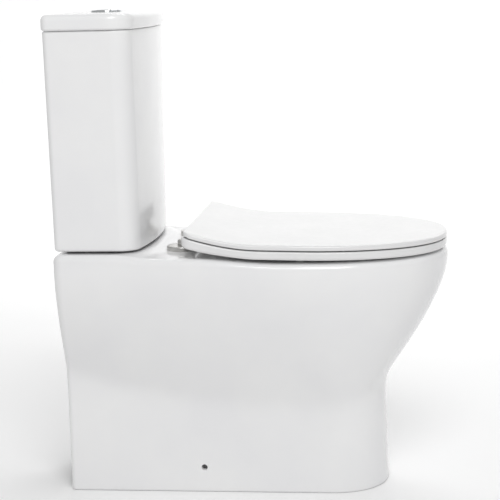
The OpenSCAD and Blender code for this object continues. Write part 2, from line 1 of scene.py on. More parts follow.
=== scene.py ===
"""A close coupled toilet: glazed china pan and cistern, slim moulded seat, metal hinges and button.

Metres, +Z up, the wall behind the cistern at +Y. Outlines count u in metres forward from the wall.
"""
import math

import bmesh
import bpy
import numpy as np
from mathutils import Matrix, Vector


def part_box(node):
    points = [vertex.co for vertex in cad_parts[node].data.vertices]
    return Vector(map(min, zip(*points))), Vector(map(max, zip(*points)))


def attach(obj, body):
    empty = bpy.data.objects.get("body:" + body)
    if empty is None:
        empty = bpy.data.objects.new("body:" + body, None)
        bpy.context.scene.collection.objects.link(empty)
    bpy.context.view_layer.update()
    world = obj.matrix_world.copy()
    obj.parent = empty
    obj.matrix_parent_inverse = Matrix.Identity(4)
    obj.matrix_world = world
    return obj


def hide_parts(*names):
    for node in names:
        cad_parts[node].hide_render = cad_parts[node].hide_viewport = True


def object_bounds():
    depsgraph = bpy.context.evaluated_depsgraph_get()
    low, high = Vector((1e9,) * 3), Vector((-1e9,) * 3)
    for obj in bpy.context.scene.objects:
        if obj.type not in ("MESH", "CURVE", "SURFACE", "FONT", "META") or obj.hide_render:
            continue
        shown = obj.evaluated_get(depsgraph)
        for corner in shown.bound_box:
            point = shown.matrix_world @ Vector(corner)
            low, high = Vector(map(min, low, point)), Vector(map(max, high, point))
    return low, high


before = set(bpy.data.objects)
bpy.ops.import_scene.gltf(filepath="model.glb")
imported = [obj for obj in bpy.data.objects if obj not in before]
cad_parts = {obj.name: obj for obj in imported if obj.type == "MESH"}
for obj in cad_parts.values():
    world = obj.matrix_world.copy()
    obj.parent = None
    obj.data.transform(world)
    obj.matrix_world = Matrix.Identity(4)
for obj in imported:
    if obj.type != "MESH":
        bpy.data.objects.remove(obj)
CAD_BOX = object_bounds()
MM = 0.001


# ---------------------------------------------------------------- camera
CAMERA_AT = Vector((-2.576, -0.2726, 0.845))
YAW, PITCH, ROLL = math.radians(6.38), math.radians(9.81), math.radians(1.39)


def set_camera():
    ahead = Vector((math.cos(YAW) * math.cos(PITCH), math.sin(YAW) * math.cos(PITCH), -math.sin(PITCH)))
    right = ahead.cross(Vector((0, 0, 1))).normalized()
    up = right.cross(ahead)
    tilted_right = right * math.cos(ROLL) - up * math.sin(ROLL)
    tilted_up = up * math.cos(ROLL) + right * math.sin(ROLL)
    turn = Matrix((tilted_right, tilted_up, -ahead)).transposed().to_4x4()
    data = bpy.data.cameras.new("view")
    data.lens = 111.0
    data.sensor_width = 36.0
    data.clip_end = 30.0
    camera = bpy.data.objects.new("view", data)
    camera.matrix_world = Matrix.Translation(CAMERA_AT) @ turn
    bpy.context.scene.collection.objects.link(camera)
    bpy.context.scene.camera = camera


set_camera()


# ---------------------------------------------------------------- colours and nodes
def paint(hex_colour):
    """An sRGB hex colour as linear RGBA."""
    parts = [int(hex_colour[i:i + 2], 16) / 255 for i in (1, 3, 5)]
    return tuple(c / 12.92 if c <= 0.04045 else ((c + 0.055) / 1.055) ** 2.4 for c in parts) + (1.0,)


def add(tree, kind, links=None, **settings):
    """Adds one node. Settings named like a socket set that socket, the others set the node."""
    item = tree.nodes.new("ShaderNode" + kind)
    for name, value in settings.items():
        if hasattr(item, name):
            setattr(item, name, value)
        else:
            item.inputs[name.replace("_", " ")].default_value = value
    for socket, source in (links or {}).items():
        tree.links.new(source, item.inputs[socket])
    return item


def finish_of(name, base, **surface):
    """A Principled material and the object coordinates, in metres, that its patterns start from."""
    made = bpy.data.materials.new(name)
    made.use_nodes = True
    tree = made.node_tree
    shader = tree.nodes["Principled BSDF"]
    shader.inputs["Base Color"].default_value = paint(base)
    for socket, value in surface.items():
        shader.inputs[socket.replace("_", " ")].default_value = value
    place = add(tree, "TexCoord").outputs["Object"]
    return made, tree, shader, place


def two_tone(tree, shader, fac, low, high, spread=(0.35, 0.65)):
    """Colour that drifts between two close tones."""
    ramp = add(tree, "ValToRGB", {"Fac": fac})
    ramp.color_ramp.elements[0].position = spread[0]
    ramp.color_ramp.elements[1].position = spread[1]
    ramp.color_ramp.elements[0].color = paint(low)
    ramp.color_ramp.elements[1].color = paint(high)
    tree.links.new(ramp.outputs["Color"], shader.inputs["Base Color"])


def gloss_range(tree, shader, fac, low, high):
    """Roughness that varies between two values."""
    spread = add(tree, "MapRange", {"Value": fac}, To_Min=low, To_Max=high)
    tree.links.new(spread.outputs["Result"], shader.inputs["Roughness"])


def relief(tree, shader, layers):
    """Bumps stacked one on another; each layer is a height source and its depth in millimetres."""
    last = None
    for height, depth in layers:
        links = {"Height": height}
        if last:
            links["Normal"] = last
        last = add(tree, "Bump", links, Distance=depth * MM, Strength=1.0).outputs["Normal"]
    tree.links.new(last, shader.inputs["Normal"])


def waves_per_m(size_mm):
    """Texture scale that gives a pattern of the stated real size."""
    return 1000.0 / size_mm


def grain(tree, place, size_mm, detail=2.0, rough=0.5):
    """Soft noise whose blotches have the stated real size."""
    noise = add(tree, "TexNoise", {"Vector": place}, Scale=waves_per_m(size_mm), Detail=detail, Roughness=rough)
    return noise.outputs["Fac"]


# ---------------------------------------------------------------- materials
def vitreous_china():
    """Slip-cast vitreous china under white tin glaze: deep wet gloss over faintly wavy clay."""
    made, tree, shader, place = finish_of("white_glazed_vitreous_china", "#EAEAEA", IOR=1.52)
    # the glaze pools a little thicker in places, a barely cooler white
    two_tone(tree, shader, grain(tree, place, 140, 3), "#E8E8E9", "#ECECEC")
    gloss_range(tree, shader, grain(tree, place, 25, 3), 0.09, 0.16)
    # 90 mm waves of the fired clay and 5 mm orange peel of the glaze
    relief(tree, shader, [(grain(tree, place, 90, 1), 0.14), (grain(tree, place, 5, 1), 0.008)])
    return made


def moulded_seat_resin():
    """Compression moulded urea resin: an even neutral white, a shade deeper than the glaze, softly polished."""
    made, tree, shader, place = finish_of("white_moulded_urea_resin", "#EDEDED", IOR=1.54)
    two_tone(tree, shader, grain(tree, place, 90, 2), "#DFDFDF", "#E2E2E2")
    gloss_range(tree, shader, grain(tree, place, 12, 4), 0.16, 0.24)
    relief(tree, shader, [(grain(tree, place, 60, 1), 0.08), (grain(tree, place, 1.5, 2), 0.003)])
    return made


def chrome_plate():
    """Chrome plated moulding: mirror bright, with hair-fine wiping marks."""
    made, tree, shader, place = finish_of("chrome_plated_moulding", "#DADDDF", Metallic=1.0)
    gloss_range(tree, shader, grain(tree, place, 2, 6, 0.7), 0.04, 0.12)
    relief(tree, shader, [(grain(tree, place, 14, 2), 0.01)])
    return made


def satin_stainless():
    """Stainless plate turned on a lathe: fine rings about the middle that smear the light."""
    made, tree, shader, place = finish_of("satin_turned_stainless", "#C9C8C5", Metallic=1.0, Anisotropic=0.5)
    # real turning marks are 0.1 mm apart; they are drawn 0.6 mm apart so that they show
    rings = add(tree, "TexWave", {"Vector": place}, wave_type="RINGS", rings_direction="Z",
                Scale=waves_per_m(0.6) * math.pi / 10, Distortion=0.6, Detail=2.0)
    gloss_range(tree, shader, rings.outputs["Fac"], 0.24, 0.4)
    two_tone(tree, shader, grain(tree, place, 8, 3), "#C2C1BE", "#CFCECB")
    relief(tree, shader, [(rings.outputs["Fac"], 0.01)])
    return made


def drawn_steel_wire():
    """Drawn spring wire: grey steel with streaks along the wire."""
    made, tree, shader, place = finish_of("drawn_spring_steel", "#9FA0A2", Metallic=1.0)
    two_tone(tree, shader, grain(tree, place, 3, 4), "#919294", "#ABACAE")
    gloss_range(tree, shader, grain(tree, place, 1, 3), 0.22, 0.38)
    relief(tree, shader, [(grain(tree, place, 0.8, 2), 0.01)])
    return made


def turned_brass():
    """Turned brass: warm yellow metal, dulled a little where fingers tighten it."""
    made, tree, shader, place = finish_of("turned_brass", "#CDA45A", Metallic=1.0)
    two_tone(tree, shader, grain(tree, place, 10, 4), "#B98E48", "#D9B36A")
    gloss_range(tree, shader, grain(tree, place, 3, 3), 0.2, 0.42)
    relief(tree, shader, [(grain(tree, place, 1.2, 2), 0.02)])
    return made


def moulded_plastic(name, colour, darker, gloss, grain_mm=1.2):
    """Injection moulded valve plastic: matt from a spark-eroded mould, with faint flow marks."""
    made, tree, shader, place = finish_of(name, colour, IOR=1.48)
    two_tone(tree, shader, grain(tree, place, 30, 3), darker, colour)
    gloss_range(tree, shader, grain(tree, place, 6, 3), gloss - 0.06, gloss + 0.06)
    relief(tree, shader, [(grain(tree, place, grain_mm, 3), 0.02)])
    return made


def rubber(name, colour, lighter):
    """Moulded rubber: dull, with a dusty bloom that lightens it in patches."""
    made, tree, shader, place = finish_of(name, colour, IOR=1.5)
    two_tone(tree, shader, grain(tree, place, 9, 4), colour, lighter, (0.45, 0.75))
    gloss_range(tree, shader, grain(tree, place, 2, 3), 0.6, 0.85)
    relief(tree, shader, [(grain(tree, place, 0.8, 3), 0.03)])
    return made


CHINA = vitreous_china()
SEAT = moulded_seat_resin()
CHROME = chrome_plate()
SATIN = satin_stainless()
WIRE = drawn_steel_wire()
BRASS = turned_brass()
VALVE_WHITE = moulded_plastic("white_moulded_pom", "#E9E9E4", "#DFDFD9", 0.4)
VALVE_BLUE = moulded_plastic("blue_moulded_polypropylene", "#7D9DB5", "#6F8FA8", 0.35)
NUT_GREY = moulded_plastic("grey_moulded_nylon", "#A9ABAC", "#9B9D9F", 0.48)
SEAL_RED = rubber("red_silicone_rubber", "#9C2F28", "#A84A42")
SEAL_BLACK = rubber("black_epdm_rubber", "#1E1E1F", "#38383A")
BUFFER_WHITE = rubber("white_soft_elastomer", "#DADAD6", "#E6E6E2")


# ---------------------------------------------------------------- outlines
DEPTH = CAD_BOX[1][1] - CAD_BOX[0][1]
BACK = CAD_BOX[1][1]
FRONT_STEPS, SIDE_STEPS, CORNER_STEPS, REAR_STEPS = 48, 28, 10, 14


def mix(a, b, t):
    return a + (b - a) * t


def ease(t):
    c = np.clip(t, 0.0, 1.0)
    return c * c * (3 - 2 * c)


def steps(n, start=1):
    return np.arange(start, n + 1) / n


def both_halves(x, u):
    """A closed outline, anticlockwise from above, from its right half (front point first)."""
    x, u = np.concatenate(x), np.concatenate(u)
    x, u = np.concatenate([x, -x[-2:0:-1]]), np.concatenate([u, u[-2:0:-1]])
    return np.stack([x, BACK - u], axis=1)


def egg(w, wr, rear, wide, front, r, p=2.2):
    """Blunt front, long sides and a straight rear with corners of radius r."""
    a = np.radians(90) * steps(FRONT_STEPS, 0)
    c = np.radians(90) * steps(CORNER_STEPS)
    s, t = steps(SIDE_STEPS), steps(REAR_STEPS)
    return both_halves(
        [w * np.sin(a) ** (2 / p), mix(w, wr, ease(s)), wr - r + r * np.cos(c), (wr - r) * (1 - t)],
        [wide + (front - wide) * np.clip(np.cos(a), 0, 1) ** (2 / p), mix(wide, rear + r, s),
         rear + r - r * np.sin(c), np.full(REAR_STEPS, rear)])


def tank(w, rear, front, bow, rf, rr):
    """Bowed front, rounded front corners, straight sides and rear."""
    bend = bow / (w - rf) ** 2
    a0 = 0.0
    for _ in range(6):
        a0 = math.atan(2 * bend * (w - rf + rf * math.sin(a0)))
    x1 = w - rf + rf * math.sin(a0)
    across = x1 * steps(FRONT_STEPS // 2, 0)
    a = mix(a0, math.radians(90), steps(FRONT_STEPS - FRONT_STEPS // 2))
    mid = front - bend * x1 ** 2 - rf * math.cos(a0)
    c = np.radians(90) * steps(CORNER_STEPS)
    return both_halves(
        [across, w - rf + rf * np.sin(a), np.full(SIDE_STEPS, w), w - rr + rr * np.cos(c),
         (w - rr) * (1 - steps(REAR_STEPS))],
        [front - bend * across ** 2, mid + rf * np.cos(a), mix(mid, rear + rr, steps(SIDE_STEPS)),
         rear + rr - rr * np.sin(c), np.full(REAR_STEPS, rear)])


def at(outline, z):
    """An outline lifted to a height, or to one height per point."""
    return np.column_stack([outline, np.broadcast_to(z, len(outline))])


# ---------------------------------------------------------------- meshes
def solid(name, points, faces, sharp_deg=40):
    mesh = bpy.data.meshes.new(name)
    mesh.from_pydata([tuple(map(float, p)) for p in points], [], faces)
    mesh.update()
    piece = bpy.data.objects.new(name, mesh)
    bpy.context.scene.collection.objects.link(piece)
    smooth(piece, sharp_deg)
    return piece


def smooth(piece, sharp_deg=40):
    piece.data.polygons.foreach_set("use_smooth", [True] * len(piece.data.polygons))
    piece.data.set_sharp_from_angle(angle=math.radians(sharp_deg))


def loft(name, rings, ends=None, sharp_deg=40):
    """A skin through rings of points: closed by two end points, or round like a tyre without them."""
    n, m = len(rings[0]), len(rings)
    points = [p for ring in rings for p in ring]
    last = m - 1 if ends else m
    faces = [(k * n + i, k * n + (i + 1) % n, (k + 1) % m * n + (i + 1) % n, (k + 1) % m * n + i)
             for k in range(last) for i in range(n)]
    if ends:
        points += list(ends)
        faces += [(n * m, (i + 1) % n, i) for i in range(n)]
        faces += [(n * m + 1, (m - 1) * n + i, (m - 1) * n + (i + 1) % n) for i in range(n)]
    return solid(name, points, faces, sharp_deg)


def revolve(name, outline, middle, axis="z", sides=96, sharp_deg=35):
    """A turned piece from a closed outline of (radius, height) points, with its own origin in its middle."""
    turned = []
    for r, h in outline:
        a = 2 * math.pi * np.arange(sides) / sides
        c, s, along = r * np.cos(a), r * np.sin(a), np.full(sides, h)
        turned.append(np.stack({"z": (c, s, along), "x": (along, c, s), "y": (s, along, c)}[axis], axis=1))
    piece = loft(name, turned, sharp_deg=sharp_deg)
    straight(piece)
    piece.location = middle
    return piece


def straight(piece):
    """Welds points that meet and turns a closed mesh's faces outwards."""
    made = bmesh.new()
    made.from_mesh(piece.data)
    bmesh.ops.remove_doubles(made, verts=made.verts, dist=1e-5)
    bmesh.ops.recalc_face_normals(made, faces=made.faces)
    made.to_mesh(piece.data)
    made.free()


def cut(piece, *tools):
    """Cuts the tools out of a piece and removes them."""
    for tool in tools:
        step = piece.modifiers.new("cut", "BOOLEAN")
        step.operation = "DIFFERENCE"
        step.solver = "EXACT"
        step.object = tool
    applied(piece)
    smooth(piece)
    for tool in tools:
        bpy.data.objects.remove(tool)


def applied(piece):
    """Replaces the piece's mesh by its result with every modifier."""
    bpy.context.view_layer.update()
    made = bpy.data.meshes.new_from_object(piece.evaluated_get(bpy.context.evaluated_depsgraph_get()))
    piece.modifiers.clear()
    piece.data = made


def post_shape(name, r, low, high, middle, axis="z", sides=64):
    """A capped round bar, used as a cutter or as the core of a piece."""
    outline = [(1e-6, low), (r, low), (r, high), (1e-6, high)]
    return revolve(name, outline, middle, axis, sides)


def dress(piece, body, slot, finish, *nodes):
    """Gives a piece its material and its body, and hides the CAD nodes that it stands for."""
    piece.data.materials.clear()
    piece.data.materials.append(finish)
    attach(piece, body)
    if nodes:
        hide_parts(*nodes)
    return piece


# ---------------------------------------------------------------- driving sizes
PAN, TANK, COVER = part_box("pan"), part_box("cistern"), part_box("cistern_cover")
FIXED, LIFTED = "bowl_and_tank", "cover"

# pan
RIM_Z, RIM_HALF, RIM_ROUND, LIP_R = 0.4045, PAN[1][0], 0.012, 0.006
DECK_Z, DECK_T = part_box("hinge_discs")[0][2], 0.018
PLATFORM_Z = PAN[1][2]
FOOT_HALF, FOOT_ROUND = 0.103, 0.004
WALL = 0.011
SWELL_TOP_Z = 0.388
CREASE_Z, CREASE_LIFT, REAR_LIFT = 0.152, 0.036, 0.060
BOWL_FLOOR_Z = 0.150
TRAP_Y, TRAP_R, TRAP_WALL = BACK - 0.330, 0.038, 0.008
OUTLET_Z = 0.180
DUCT_Z, DUCT_LENGTH, DUCT_R = 0.352, 0.196, 0.028
FOOT_HOLE_Y, FOOT_HOLE_Z, FOOT_HOLE_R = BACK - 0.230, 0.043, 0.005

# cistern and its cover
TANK_Z, TANK_TOP, TANK_U = TANK[0][2], TANK[1][2], 0.151
TANK_HALF_LOW, TANK_HALF_TOP, TANK_WALL, TANK_BOW = 0.157, 0.176, 0.009, 0.009
TANK_MIDDLE = BACK - 0.075
COVER_TOP, COVER_HALF = COVER[1][2], 0.181
BUTTON_HOLE_R = 0.0205
BEZEL_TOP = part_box("button_bezel")[1][2]
ROD_X = 0.008

# bolts, valve tail and hinges
BOLT_X, BOLT_Y = 0.085, BACK - 0.072
FILL_X, FILL_Y = -0.112, BACK - 0.070
HINGE_X, HINGE_Y, HINGE_Z = 0.0775, BACK - 0.219, 0.440
STUD_Y = BACK - 0.200
PIN_R, PIN_HOLE_R = 0.0040, 0.0041

# seat
LID_T, GAP, RING_T = 0.0085, 0.002, 0.0135
RING_U, COVER_U = 0.213, 0.216
KNUCKLE_R, LUG_R, BUFFER_R = 0.0100, 0.0065, 0.007


# ---------------------------------------------------------------- pan
def top_z(x, y):
    """Cistern platform, seat deck and rim, joined by soft steps; the platform follows the cistern's front."""
    u = BACK - y
    side = np.clip(np.abs(x) / 0.172, 0, 1)
    edge, width = 0.166 - 0.045 * side ** 4, 0.014 + 0.080 * side ** 6
    return (RIM_Z + (DECK_Z - RIM_Z) * ease((0.372 - u) / 0.140)
            + (PLATFORM_Z - DECK_Z) * ease((edge - u) / width + 0.5))


def rim_line(d):
    """The widest outline of the pan, d inside its edge."""
    return egg(RIM_HALF - d, 0.172 - d, d, 0.400, DEPTH - d, max(0.016 - d, 0.003))


def foot_line(d, z):
    """The outline of the skirt, which hardly changes with height."""
    t = np.clip(z / 0.165, 0, 1)
    return egg(FOOT_HALF + 0.001 * t - d, FOOT_HALF - 0.001 + 0.001 * t - d, d, 0.440, mix(0.538, 0.532, t) - d,
               max(0.009 - d, 0.003))


def skin(z, d):
    """The outer skin: a straight skirt that swells into the bowl above a soft crease."""
    a, b = foot_line(d, z), rim_line(d)
    front = np.clip((BACK - 0.440 - a[:, 1]) / 0.092, 0, 1)
    rear = np.clip((0.380 - BACK + a[:, 1]) / 0.380, 0, 1)
    start = CREASE_Z + CREASE_LIFT * front ** 2 + REAR_LIFT * rear ** 2
    s = (z - start) / (SWELL_TOP_Z - start)
    # a rounded start, so that the crease is a soft line
    s = np.clip(0.5 * (s + np.sqrt(s ** 2 + 0.09 ** 2)) - 0.002, 0, 1)
    swell = 1 - (1 - s) ** 1.5
    return at(mix(a, b, swell[:, None]), z)


def bowl(z, d):
    """The inside of the bowl, d outside its glaze."""
    h = np.clip((RIM_Z - z) / (RIM_Z - BOWL_FLOOR_Z), 0, 1) ** 1.6
    mouth = egg(0.132 + d, 0.112 + d, 0.272 - d, 0.420, 0.594 + d, 0.080 + d, 2.1)
    floor = egg(0.036 + d, 0.030 + d, 0.294 - d, 0.330, 0.366 + d, 0.030 + d, 2.0)
    return at(mix(mouth, floor, h), z)


def over_top(outline, drop=0.0):
    return at(outline, top_z(outline[:, 0], outline[:, 1]) - drop)


def pan():
    """One skin from the underside of the bowl, round the inside of the skirt and back up to the bowl."""
    arc = np.radians(np.linspace(0, 90, 7))
    mouth = bowl(RIM_Z, LIP_R)[:, :2]
    under = [bowl(z, WALL) for z in (BOWL_FLOOR_Z - WALL, 0.155, 0.175, 0.205, 0.24, 0.28, 0.32, 0.36)]
    a, b = bowl(0.381, WALL + 0.004)[:, :2], rim_line(WALL + 0.006)
    under += [over_top(mix(a, b, t), DECK_T) for t in np.linspace(0, 1, 12)]
    under += [skin(z, WALL) for z in (0.375, 0.35, 0.32, 0.29, 0.26, 0.23, 0.2, 0.175, 0.15, 0.12, 0.06)]
    foot = [at(foot_line(WALL, 0), 0.001), at(foot_line(WALL - 0.001, 0), 0.0)]
    foot += [at(foot_line(FOOT_ROUND * (1 - math.sin(t)), 0), FOOT_ROUND * (1 - math.cos(t))) for t in arc]
    levels = np.concatenate([np.linspace(0.010, 0.120, 8), np.linspace(0.127, 0.240, 24),
                             np.linspace(0.248, 0.391, 22)])
    rim = [over_top(rim_line(RIM_ROUND * (1 - math.cos(t))), RIM_ROUND * (1 - math.sin(t))) for t in arc]
    deck = [over_top(mix(rim_line(RIM_ROUND), mouth, t)) for t in np.linspace(0, 1, 44)[1:]]
    lip = [over_top(bowl(RIM_Z, LIP_R * (1 - math.sin(t)))[:, :2], LIP_R * (1 - math.cos(t))) for t in arc[1:]]
    inner = [bowl(z, 0) for z in np.linspace(0.396, BOWL_FLOOR_Z, 30)]
    rings = under + foot + [skin(z, 0) for z in levels] + rim + deck + lip + inner
    piece = loft("china_pan", rings, [(0, TRAP_Y, BOWL_FLOOR_Z - WALL), (0, TRAP_Y, BOWL_FLOOR_Z)])
    cut_pan(piece)
    return dress(piece, FIXED, "glazed_china", CHINA, "pan")


def foot_hole(side):
    """A screw hole whose mouth is rounded where the glaze ran into it."""
    r, soft = FOOT_HOLE_R, 0.0016
    flare = [(1e-6, -0.030), (r, -0.030), (r, -soft)]
    flare += [(r + soft - soft * math.cos(t), -soft + soft * math.sin(t)) for t in np.radians([30, 60, 90])]
    flare += [(r + soft, 0.012), (1e-6, 0.012)]
    middle = (side * (FOOT_HALF + 0.0002), FOOT_HOLE_Y, FOOT_HOLE_Z)
    return revolve("t", [(r, side * h) for r, h in flare], middle, "x", 48)


def cut_pan(piece):
    """Cuts the holes through the deck and the foot, and the ways for water and waste."""
    under_deck, past_deck = 0.37, 0.45
    tools = []
    for side in (-1, 1):
        tools.append(foot_hole(side))
        tools.append(post_shape("t", 0.006, under_deck, past_deck, (side * BOLT_X, BOLT_Y, 0)))
        tools.append(post_shape("t", 0.007, under_deck, past_deck, (side * HINGE_X, STUD_Y, 0)))
    tools.append(post_shape("t", 0.021, under_deck, past_deck, (FILL_X, FILL_Y, 0)))
    tools.append(post_shape("t", 0.046, 0.382, past_deck, (0, BOLT_Y, 0)))
    tools.append(post_shape("t", TRAP_R, 0.130, 0.165, (0, TRAP_Y, 0)))
    tools.append(post_shape("t", DUCT_R, BACK - 0.300, BACK - 0.25, (0, 0, DUCT_Z), "y"))
    tools.append(back_gap())
    cut(piece, *tools)


def back_gap():
    """The arched gap in the pan's back, for the waste pipe."""
    w, top, r = 0.076, 0.330, 0.030
    a = np.radians(np.linspace(0, 90, 9))
    right = [(w, -0.01)] + [(w - r + r * math.cos(t), top - r + r * math.sin(t)) for t in a]
    outline = right + [(-x, z) for x, z in reversed(right)]
    y0, y1 = BACK - WALL - 0.004, BACK + 0.01
    points = [(x, y, z) for y in (y0, y1) for x, z in outline]
    n = len(outline)
    faces = [tuple(range(n)), tuple(range(2 * n - 1, n - 1, -1))]
    faces += [(i, i + n, (i + 1) % n + n, (i + 1) % n) for i in range(n)]
    piece = solid("t", points, faces)
    straight(piece)
    return piece


def trap_line():
    """Centre line of the trap as (y, z, heading): down, round the dip, over the weir and down to the outlet."""
    z0, bend, fall = 0.165, 0.055, math.radians(35)
    line = [(TRAP_Y, z0 + 0.010, -math.pi / 2)]
    line += [(TRAP_Y + bend - bend * math.cos(a), z0 - bend * math.sin(a), a - math.pi / 2)
             for a in np.linspace(0, math.pi, 17)]
    line += [(TRAP_Y + 3 * bend - bend * math.cos(a), z0 + bend * math.sin(a), math.pi / 2 - a)
             for a in np.linspace(0, math.pi / 2 + fall, 13)[1:]]
    run = (line[-1][1] - OUTLET_Z) / math.sin(fall)
    return line + [(line[-1][0] + run * math.cos(fall), OUTLET_Z, -fall)]


def passages():
    """The trap, the outlet and the flush duct, seen through the open back and down the bowl."""
    a = 2 * math.pi * np.arange(48) / 48

    def ring(q, r):
        y, z, heading = q
        return np.stack([r * np.cos(a), y - r * np.sin(a) * math.sin(heading),
                         z + r * np.sin(a) * math.cos(heading)], axis=1)
    line = trap_line()
    trap = [ring(q, TRAP_R + TRAP_WALL) for q in line] + [ring(q, TRAP_R) for q in reversed(line)]
    trap = loft("china_trap", trap)
    straight(trap)
    outlet = [(0.043, 0.0), (0.048, 0.0), (0.051, 0.003), (0.051, 0.048), (0.049, 0.050), (0.049, 0.101),
              (0.047, 0.103), (0.040, 0.103), (0.040, 0.090), (0.043, 0.088)]
    outlet = revolve("china_outlet", [(r, -h) for r, h in outlet], (0, BACK - 0.022, OUTLET_Z), "y")
    duct_out = DUCT_R + TRAP_WALL
    duct = [(DUCT_R, 0.0), (duct_out, 0.0), (duct_out, DUCT_LENGTH), (DUCT_R, DUCT_LENGTH)]
    duct = revolve("china_flush_duct", duct, (0, BOLT_Y - DUCT_LENGTH, DUCT_Z), "y")
    well = [(1e-6, 0.313), (0.036, 0.313), (0.039, 0.316), (0.039, 0.370), (0.043, 0.374), (0.050, 0.374),
            (0.054, 0.378), (0.054, 0.405), (0.046, 0.405), (0.046, 0.382), (0.031, 0.382), (0.031, 0.321),
            (1e-6, 0.321)]
    well = revolve("china_flush_well", well, (0, BOLT_Y, 0))
    for piece in (trap, outlet, duct, well):
        dress(piece, FIXED, "glazed_china", CHINA, "pan")


pan()
passages()


# ---------------------------------------------------------------- rounded edges
def corner(line, inset, r, middle, low, high, n=6):
    """Rings round an edge of radius r, from angle low to high; line(d) is the outline d inside the material."""
    made = []
    for a in np.radians(np.linspace(low, high, n)):
        outline = line(inset + r * (1 - math.cos(a)))
        made.append(at(outline, middle(outline[:, 1]) + r * math.sin(a)))
    return made


def level(z):
    return lambda y: np.full(len(y), z)


# ---------------------------------------------------------------- cistern
def tank_at(z, d):
    t = np.clip((z - TANK_Z) / (TANK_TOP - TANK_Z), 0, 1)
    return tank(mix(TANK_HALF_LOW, TANK_HALF_TOP, t) - d, 0.001 + d, TANK_U - d, TANK_BOW,
                max(0.034 - d, 0.008), max(0.010 - d, 0.004))


def cistern():
    """The tank casting: tapered sides, a bowed front and a glazed hollow."""
    wall, base, rim = TANK_WALL, TANK_Z + 0.014, TANK_TOP
    rings = [at(tank_at(TANK_Z, d), TANK_Z + h) for d, h in ((0.030, 0.0006), (0.012, 0.0006), (0.006, 0.0))]
    rings += corner(lambda d: tank_at(TANK_Z, d), 0, 0.005, level(TANK_Z + 0.005), -90, 0)
    rings += [at(tank_at(z, 0), z) for z in np.linspace(TANK_Z + 0.012, rim - 0.006, 26)]
    rings += corner(lambda d: tank_at(rim, d), 0, 0.003, level(rim - 0.003), 0, 90)
    rings += corner(lambda d: tank_at(rim, wall - d), 0, 0.002, level(rim - 0.002), 90, 0)
    rings += [at(tank_at(z, wall), z) for z in np.linspace(rim - 0.006, base + 0.014, 20)]
    rings += [at(tank_at(base, wall + 0.012 * (1 - math.cos(a))), base + 0.012 * (1 - math.sin(a)))
              for a in np.radians(np.linspace(0, 90, 7))]
    ends = [(0, TANK_MIDDLE, TANK_Z + 0.0006), (0, TANK_MIDDLE, base)]
    piece = loft("china_cistern", rings, ends)
    holes = [(0, BOLT_Y, 0.0325), (-BOLT_X, BOLT_Y, 0.005), (BOLT_X, BOLT_Y, 0.005), (FILL_X, FILL_Y, 0.011)]
    cut(piece, *[post_shape("t", r, TANK_Z - 0.01, base + 0.004, (x, y, 0)) for x, y, r in holes])
    dress(piece, FIXED, "glazed_china", CHINA, "cistern")


def cover_line(d):
    """The outline of the cover, which stands 4 to 5 mm proud of the tank."""
    return tank(COVER_HALF - d, d, TANK_U + 0.004 - d, TANK_BOW, max(0.040 - d, 0.008), max(0.012 - d, 0.004))


def cistern_cover():
    """The lift-off cover: a softly rounded slab with a lip that drops inside the tank."""
    low, top = TANK_TOP + 0.0003, COVER_TOP
    crown = 0.0004
    lip = ((0.030, 0.009), (0.024, 0.009), (0.022, 0.007), (0.022, -0.004), (0.020, -0.006), (0.018, -0.006),
           (0.0165, -0.0045))
    rings = [at(cover_line(d), TANK_TOP + h) for d, h in lip]
    rings += [at(cover_line(d), low) for d in (0.016, 0.010, 0.0045)]
    rings += corner(cover_line, 0, 0.0045, level(low + 0.0045), -90, 0)
    rings += [at(cover_line(0), z) for z in (low + 0.0075, top - 0.0125)]
    rings += corner(cover_line, 0, 0.0095, level(top - 0.0095 - crown), 0, 90, 10)
    rings += [at(cover_line(d), top - crown * (1 - ease((d - 0.01) / 0.03))) for d in np.linspace(0.012, 0.055, 9)]
    piece = loft("china_cistern_cover", rings, [(0, TANK_MIDDLE, TANK_TOP + 0.009), (0, TANK_MIDDLE, top)])
    cut(piece, post_shape("t", BUTTON_HOLE_R, TANK_TOP - 0.01, top + 0.01, (0, BOLT_Y, 0)))
    dress(piece, LIFTED, "glazed_china", CHINA, "cistern_cover")


# ---------------------------------------------------------------- flush button
def bezel():
    """The chromed ring round the buttons and the threaded sleeve that holds it in the cover."""
    a = np.radians(np.linspace(90, 0, 7))
    outline = [(0.0180, -0.0298), (0.0180, -0.0008), (0.0183, -0.0002), (0.0188, 0.0)]
    outline += [(0.0238 + 0.0022 * math.cos(t), -0.0022 + 0.0022 * math.sin(t)) for t in a]
    thread, root = 0.0200, 0.0193
    outline += [(0.0260, -0.0030), (thread, -0.0030)]
    for k in range(9):
        z = -0.0045 - 0.004 * k
        outline += [(thread, z), (root, z - 0.0010), (root, z - 0.0022), (thread, z - 0.0032)]
    outline += [(thread, -0.0420), (1e-6, -0.0420), (1e-6, -0.0298)]
    piece = revolve("button_rim", outline, (0, BOLT_Y, BEZEL_TOP))
    rods = [post_shape("t", 0.0029, -0.050, -0.020, (s * ROD_X, BOLT_Y, BEZEL_TOP)) for s in (-1, 1)]
    cut(piece, *rods)
    dress(piece, LIFTED, "chrome_trim", CHROME, "button_bezel")


def part_disc(r, part, side):
    """The outline of a disc cut off at x = part, on the side kept."""
    a = math.acos(part * side / r)
    arc = np.linspace(-a, a, 61)
    x, y = r * np.cos(arc), r * np.sin(arc)
    back_x = np.full(15, r * math.cos(a))
    back_y = np.linspace(y[-1], y[0], 17)[1:-1]
    outline = np.stack([side * np.concatenate([x, back_x]), np.concatenate([y, back_y]) + BOLT_Y], axis=1)
    return outline if side > 0 else outline[::-1]


